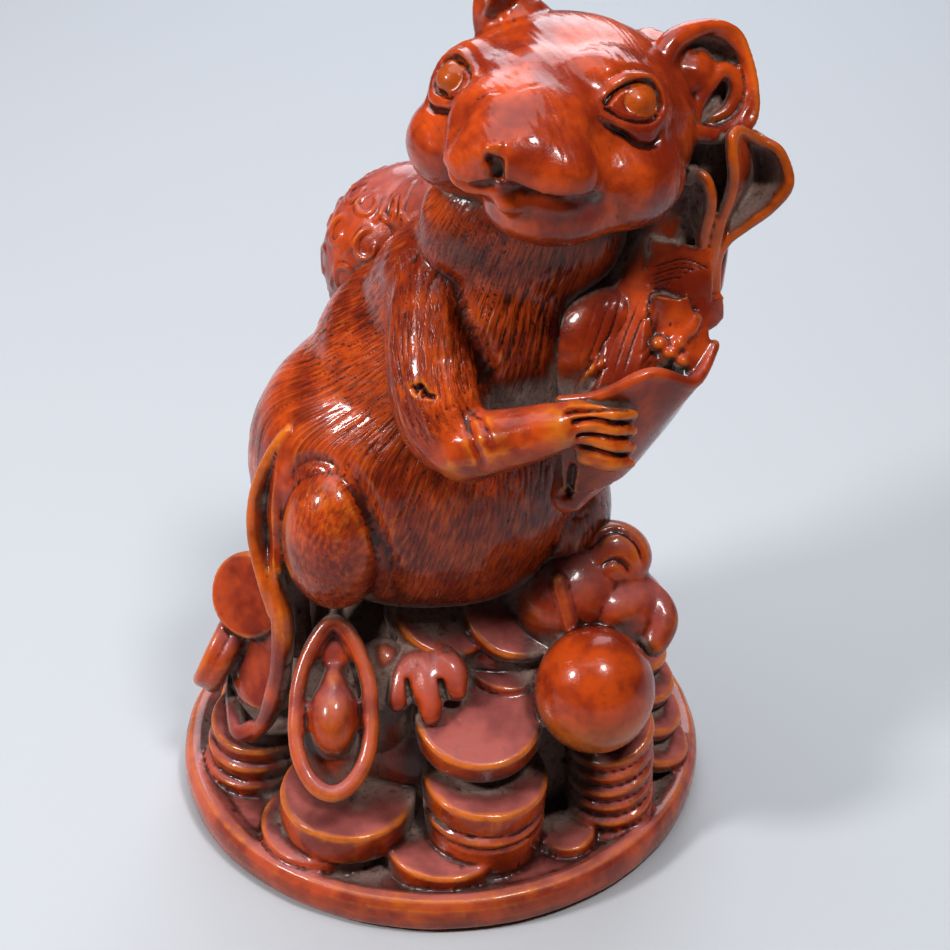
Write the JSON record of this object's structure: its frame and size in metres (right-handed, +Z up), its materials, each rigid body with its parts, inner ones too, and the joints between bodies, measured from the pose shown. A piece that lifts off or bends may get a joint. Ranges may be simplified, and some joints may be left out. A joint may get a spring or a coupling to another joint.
{
  "type": "rat figurine",
  "caption": "Carved wooden rat figurine hugging a leafy cabbage, seated on a heap of coins and ingots on a round base; stands on a shelf or desk as an ornament.",
  "frame": {"origin": "centre of the round base's flat underside", "axes": "+Z up; -Y is the front, the side that the ingot and pearl show on; +X towards the cabbage"},
  "size_m": [0.0641, 0.0582, 0.1009],
  "materials": {
    "boxwood": "boxwood stained and waxed to a deep reddish orange-brown, polished to a gloss on the raised forms, rubbed to amber on the edges, dark in the cuts, with grey-brown dust in the recesses of the heap"
  },
  "bodies": {
    "root": {"rat_figurine": "boxwood"}
  },
  "joints": []
}
